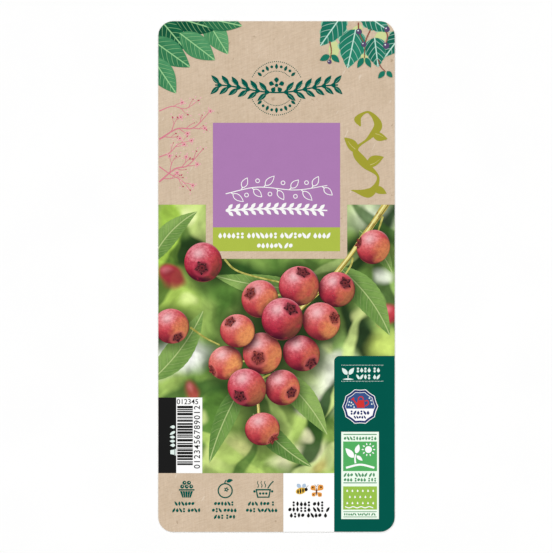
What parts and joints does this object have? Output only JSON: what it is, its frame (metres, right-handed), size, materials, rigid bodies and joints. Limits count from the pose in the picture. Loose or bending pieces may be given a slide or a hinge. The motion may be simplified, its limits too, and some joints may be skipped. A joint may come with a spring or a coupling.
{
  "type": "plant label",
  "caption": "Flat rounded plant label card: kraft header with leaf sprays, plum title panel, picture of pink blueberries, green side panel and pictogram footer.",
  "frame": {"origin": "middle of the card's flat underside", "axes": "+Z out of the printed face, +Y towards the label's top edge, +X towards the reader's right as the label is read"},
  "size_m": [0.1, 0.216, 0.0009],
  "materials": {
    "kraft_print": "matt kraft with short fibres",
    "white_board": "smooth white coated board",
    "picture_print": "satin picture print",
    "bottle_green_print": "satin print",
    "black_print": "satin print",
    "plum_print": "satin print",
    "lime_print": "satin print",
    "badge_green_print": "satin print",
    "leaf_lime_print": "satin print",
    "leaf_green_print": "satin print",
    "teal_leaf_print": "satin print",
    "olive_print": "satin print",
    "blossom_print": "satin print",
    "stem_print": "satin print",
    "berry_print": "satin print"
  },
  "bodies": {
    "root": {"back_sheet": "kraft_print", "card_core": "white_board", "header_kraft": "kraft_print", "picture_panel": "picture_print", "side_panel": "bottle_green_print", "footer_kraft": "kraft_print", "footer_tile": "white_board", "code_strip": "black_print", "code_tile": "white_board", "title_panel": "plum_print", "caption_band": "lime_print", "title_sprig": "white_board", "title_leaf_row": "white_board", "seal_rosette": "white_board", "badge_tile": "white_board", "badge_square_upper": "badge_green_print", "badge_square_lower": "leaf_lime_print", "oval_leaf_1": "leaf_green_print", "oval_leaf_2": "leaf_green_print", "oval_leaf_3": "leaf_green_print", "oval_leaf_4": "leaf_green_print", "oval_leaf_5": "leaf_green_print", "oval_leaf_6": "leaf_green_print", "oval_leaf_7": "leaf_green_print", "round_leaf_1": "teal_leaf_print", "round_leaf_2": "teal_leaf_print", "round_leaf_3": "teal_leaf_print", "round_leaf_4": "teal_leaf_print", "round_leaf_5": "teal_leaf_print", "header_garland": "bottle_green_print", "olive_tendril": "olive_print", "blossom_twig_1": "blossom_print", "blossom_twig_2": "blossom_print", "picture_leaf_1": "leaf_lime_print", "picture_leaf_2": "leaf_lime_print", "picture_leaf_3": "leaf_lime_print", "picture_leaf_4": "leaf_lime_print", "picture_leaf_5": "leaf_lime_print", "picture_leaf_6": "leaf_lime_print", "picture_leaf_7": "leaf_lime_print", "picture_leaf_8": "leaf_lime_print", "picture_stem": "stem_print", "berry_01": "berry_print", "berry_02": "berry_print", "berry_03": "berry_print", "berry_04": "berry_print", "berry_05": "berry_print", "berry_06": "berry_print", "berry_07": "berry_print", "berry_08": "berry_print", "berry_09": "berry_print", "berry_10": "berry_print", "berry_11": "berry_print", "berry_12": "berry_print", "berry_13": "berry_print", "berry_14": "berry_print", "berry_15": "berry_print", "basket_sign": "bottle_green_print", "fruit_sign": "bottle_green_print", "pot_sign": "bottle_green_print"}
  },
  "joints": []
}
